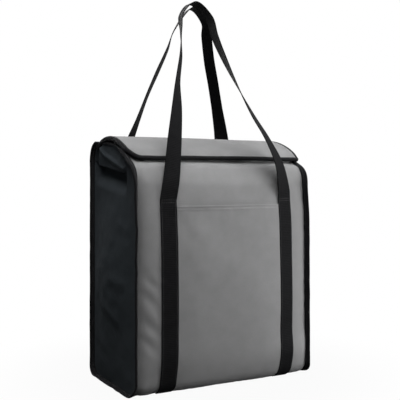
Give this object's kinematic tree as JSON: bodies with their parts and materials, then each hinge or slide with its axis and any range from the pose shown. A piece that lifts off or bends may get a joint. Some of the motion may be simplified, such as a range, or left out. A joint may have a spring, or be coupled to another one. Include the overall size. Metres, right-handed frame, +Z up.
{
  "type": "cooler bag",
  "caption": "Tall insulated tote with padded grey walls, black gussets and bound seams, a hinged lid flap, a flat front pocket and long webbing carry handles.",
  "frame": {"origin": "middle of the flat base, on the floor", "axes": "+Z up, -Y is the front with the pocket, +X to the right seen from the front"},
  "size_m": [0.3686, 0.2398, 0.6971],
  "materials": {
    "grey_fabric": "matt woven polyester, mid grey",
    "black_fabric": "matt woven polyester, blue black",
    "webbing": "woven polypropylene webbing, black",
    "tape": "folded binding tape, black",
    "foam": "closed cell foam sheet, off white",
    "lining": "silver coated wipe clean film",
    "board": "stiff plastic sheet, black",
    "hook_loop": "hook and loop tape, black"
  },
  "bodies": {
    "bag": {"front_panel": "grey_fabric", "front_foam": "foam", "front_lining": "lining", "front_left_strap": "webbing", "front_right_strap": "webbing", "back_panel": "grey_fabric", "back_foam": "foam", "back_lining": "lining", "back_left_strap": "webbing", "back_right_strap": "webbing", "front_pocket": "grey_fabric", "bottom_panel": "black_fabric", "base_board": "board", "bottom_foam": "foam", "bottom_lining": "lining", "left_gusset": "black_fabric", "left_foam": "foam", "left_lining": "lining", "left_seam_tape": "tape", "left_mouth_tape": "tape", "right_gusset": "black_fabric", "right_foam": "foam", "right_lining": "lining", "right_seam_tape": "tape", "right_mouth_tape": "tape", "front_mouth_tape": "tape", "loop_strip": "hook_loop"},
    "lid": {"lid_panel": "grey_fabric", "lid_foam": "foam", "lid_lining": "lining", "lid_tape": "tape", "hook_strip": "hook_loop"},
    "front_handle": {"front_handle": "webbing"},
    "back_handle": {"back_handle": "webbing"}
  },
  "joints": [
    {"name": "lid_hinge", "type": "hinge", "parent": "bag", "child": "lid", "pos_m": [0, 0.072, 0.437], "axis": [-1, 0, 0], "range_deg": [0, 90]},
    {"name": "front_handle_swing", "type": "hinge", "parent": "bag", "child": "front_handle", "pos_m": [0, -0.10575, 0.337], "axis": [1, 0, 0], "range_deg": [0, 150]},
    {"name": "back_handle_swing", "type": "hinge", "parent": "bag", "child": "back_handle", "pos_m": [0, 0.10201, 0.337], "axis": [-1, 0, 0], "range_deg": [0, 150]}
  ]
}
